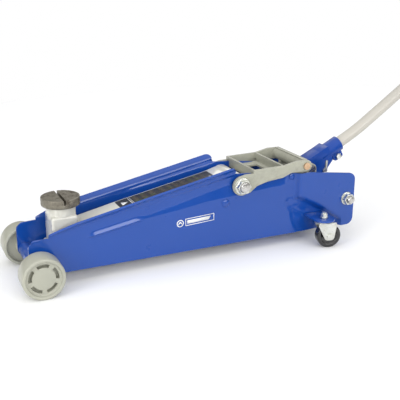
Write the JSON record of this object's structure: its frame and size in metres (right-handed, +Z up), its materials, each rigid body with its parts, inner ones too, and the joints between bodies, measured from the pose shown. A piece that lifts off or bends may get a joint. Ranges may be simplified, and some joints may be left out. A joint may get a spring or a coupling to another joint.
{
  "type": "hydraulic trolley jack",
  "caption": "Low trolley jack with pressed side plates, levelled lift arm and slotted saddle, bracing yoke, rear casters and a bent pump handle with a release knob.",
  "frame": {"origin": "middle of the base rectangle of the whole jack, on the floor, at the rest pose with the arm down and the handle down", "axes": "+X along the jack from the front wheels to the handle, +Y to the jack's right side seen from the handle's far side, +Z up"},
  "size_m": [1.5578, 0.243, 0.7619],
  "materials": {
    "chassis_paint": "gloss blue enamel over steel",
    "tank_paint": "satin grey-beige enamel over steel",
    "socket_paint": "gloss blue enamel over forged steel",
    "yoke_paint": "satin grey-beige enamel over cast iron",
    "arm_paint": "gloss light grey enamel over steel",
    "wheel_paint": "satin cream-grey enamel over cast iron",
    "handle_paint": "satin cream-grey enamel over steel tube",
    "saddle_iron": "bare cast iron with a rough top",
    "caster_tread": "gloss black polymer",
    "zinc_plate": "bright zinc plate",
    "bright_steel": "turned steel",
    "spring_steel": "oiled spring wire",
    "brass_pin": "satin brass",
    "label_film": "printed film, charcoal",
    "grip_rubber": "ribbed soft rubber",
    "knob_plastic": "moulded plastic"
  },
  "bodies": {
    "chassis": {"side_plate_left": "chassis_paint", "side_plate_right": "chassis_paint", "front_axle": "bright_steel", "front_spreader_tube": "chassis_paint", "axle_collars": "zinc_plate", "caster_shelf_left": "chassis_paint", "caster_shelf_right": "chassis_paint", "caster_kingpins": "zinc_plate", "link_studs": "chassis_paint", "rear_tie_bolt": "bright_steel", "rear_spreader_tube": "chassis_paint", "tie_washers": "zinc_plate", "tie_nuts": "zinc_plate", "upper_cross_bar": "zinc_plate", "side_screws": "chassis_paint", "arm_pivot_shaft": "bright_steel", "arm_spacers": "chassis_paint", "arm_flange_nuts": "zinc_plate", "yoke": "yoke_paint", "yoke_rear_pin": "brass_pin", "cylinder_gland": "tank_paint", "ram_cylinder": "bright_steel", "oil_tank": "tank_paint", "filler_plug": "zinc_plate", "pump_body": "tank_paint", "base_plate": "chassis_paint", "base_bolts": "zinc_plate", "handle_pivot_pins": "bright_steel"},
    "front_wheel_left": {"front_wheel_left": "wheel_paint"},
    "front_wheel_right": {"front_wheel_right": "wheel_paint"},
    "caster_left": {"caster_fork_left": "zinc_plate", "caster_axle_left": "zinc_plate"},
    "caster_right": {"caster_fork_right": "zinc_plate", "caster_axle_right": "zinc_plate"},
    "caster_wheel_left": {"caster_wheel_left": "caster_tread"},
    "caster_wheel_right": {"caster_wheel_right": "caster_tread"},
    "lift_arm": {"lift_arm": "arm_paint", "arm_label": "label_film", "pedestal_pin": "bright_steel", "ram_lug_pin": "bright_steel"},
    "pedestal": {"saddle_pedestal": "arm_paint", "link_front_pin": "bright_steel"},
    "saddle": {"saddle": "saddle_iron"},
    "radius_link_left": {"radius_link_left": "chassis_paint"},
    "radius_link_right": {"radius_link_right": "chassis_paint"},
    "ram": {"ram": "bright_steel", "ram_crosshead": "bright_steel"},
    "handle": {"handle_socket": "socket_paint", "handle_tube": "handle_paint", "clamp_bolt": "zinc_plate", "handle_grip": "grip_rubber", "roller_pin": "bright_steel", "roller_clip": "zinc_plate"},
    "pump_roller": {"pump_roller": "brass_pin"},
    "pump_plunger": {"pump_plunger": "bright_steel", "plunger_spring": "spring_steel"},
    "release_knob": {"release_knob": "knob_plastic", "release_rod_upper": "bright_steel"},
    "release_rod": {"release_rod_lower": "bright_steel"},
    "release_spindle": {"release_spindle": "bright_steel"}
  },
  "joints": [
    {"name": "front_wheel_left_spin", "type": "hinge", "parent": "chassis", "child": "front_wheel_left", "pos_m": [-0.73942, -0.088, 0.0395], "axis": [0, 1, 0], "continuous": true},
    {"name": "front_wheel_right_spin", "type": "hinge", "parent": "chassis", "child": "front_wheel_right", "pos_m": [-0.73942, 0.088, 0.0395], "axis": [0, 1, 0], "continuous": true},
    {"name": "caster_left_swivel", "type": "hinge", "parent": "chassis", "child": "caster_left", "pos_m": [-0.14492, -0.0985, 0.0565], "axis": [0, 0, 1], "continuous": true},
    {"name": "caster_left_roll", "type": "hinge", "parent": "caster_left", "child": "caster_wheel_left", "pos_m": [-0.13522, -0.10092, 0.0258], "axis": [0.2419, 0.9703, 0], "continuous": true},
    {"name": "caster_right_swivel", "type": "hinge", "parent": "chassis", "child": "caster_right", "pos_m": [-0.14492, 0.0985, 0.0565], "axis": [0, 0, 1], "continuous": true},
    {"name": "caster_right_roll", "type": "hinge", "parent": "caster_right", "child": "caster_wheel_right", "pos_m": [-0.13522, 0.10092, 0.0258], "axis": [-0.2419, 0.9703, 0], "continuous": true},
    {"name": "arm_lift", "type": "hinge", "parent": "chassis", "child": "lift_arm", "pos_m": [-0.32142, 0, 0.1465], "axis": [0, 1, 0], "range_deg": [0, 62]},
    {"name": "pedestal_level", "type": "hinge", "parent": "lift_arm", "child": "pedestal", "pos_m": [-0.67326, 0, 0.07619], "axis": [0, 1, 0], "range_deg": [-62, 0]},
    {"name": "saddle_turn", "type": "hinge", "parent": "pedestal", "child": "saddle", "pos_m": [-0.67696, 0, 0.1399], "axis": [0, 0, 1], "continuous": true},
    {"name": "radius_link_left_swing", "type": "hinge", "parent": "chassis", "child": "radius_link_left", "pos_m": [-0.35592, -0.046, 0.1133], "axis": [0, 1, 0], "range_deg": [0, 62]},
    {"name": "radius_link_right_swing", "type": "hinge", "parent": "chassis", "child": "radius_link_right", "pos_m": [-0.35592, 0.046, 0.1133], "axis": [0, 1, 0], "range_deg": [0, 62]},
    {"name": "ram_push", "type": "slide", "parent": "chassis", "child": "ram", "axis": [-1, 0, 0], "range_m": [0, 0.0618]},
    {"name": "handle_pump", "type": "hinge", "parent": "chassis", "child": "handle", "pos_m": [-0.13342, 0, 0.1502], "axis": [0, 1, 0], "range_deg": [-52, 0]},
    {"name": "pump_roller_spin", "type": "hinge", "parent": "handle", "child": "pump_roller", "pos_m": [-0.09342, 0, 0.14], "axis": [0, 1, 0], "continuous": true},
    {"name": "pump_plunger_stroke", "type": "slide", "parent": "chassis", "child": "pump_plunger", "axis": [0, 0, 1], "range_m": [0, 0.022], "deforming": ["plunger_spring"]},
    {"name": "release_knob_turn", "type": "hinge", "parent": "handle", "child": "release_knob", "pos_m": [0.74357, 0, 0.73142], "axis": [0.8241, 0, 0.5664], "range_deg": [0, 180]},
    {"name": "release_rod_turn", "type": "hinge", "parent": "handle", "child": "release_rod", "pos_m": [-0.13342, 0, 0.1502], "axis": [0.887, 0, 0.4617], "range_deg": [0, 180]},
    {"name": "release_spindle_turn", "type": "hinge", "parent": "chassis", "child": "release_spindle", "pos_m": [-0.13342, 0, 0.1502], "axis": [0.6018, 0, 0.7986], "range_deg": [0, 180]}
  ],
  "couplings": [
    {"joint": "pedestal_level", "follows": "arm_lift", "ratio": -1},
    {"joint": "radius_link_left_swing", "follows": "arm_lift", "ratio": 1},
    {"joint": "radius_link_right_swing", "follows": "arm_lift", "ratio": 1},
    {"joint": "ram_push", "follows": "arm_lift", "m_per_rad": 0.057115},
    {"joint": "pump_plunger_stroke", "follows": "handle_pump", "m_per_rad": -0.024241},
    {"joint": "release_rod_turn", "follows": "release_knob_turn", "ratio": 1},
    {"joint": "release_spindle_turn", "follows": "release_knob_turn", "ratio": 1}
  ]
}
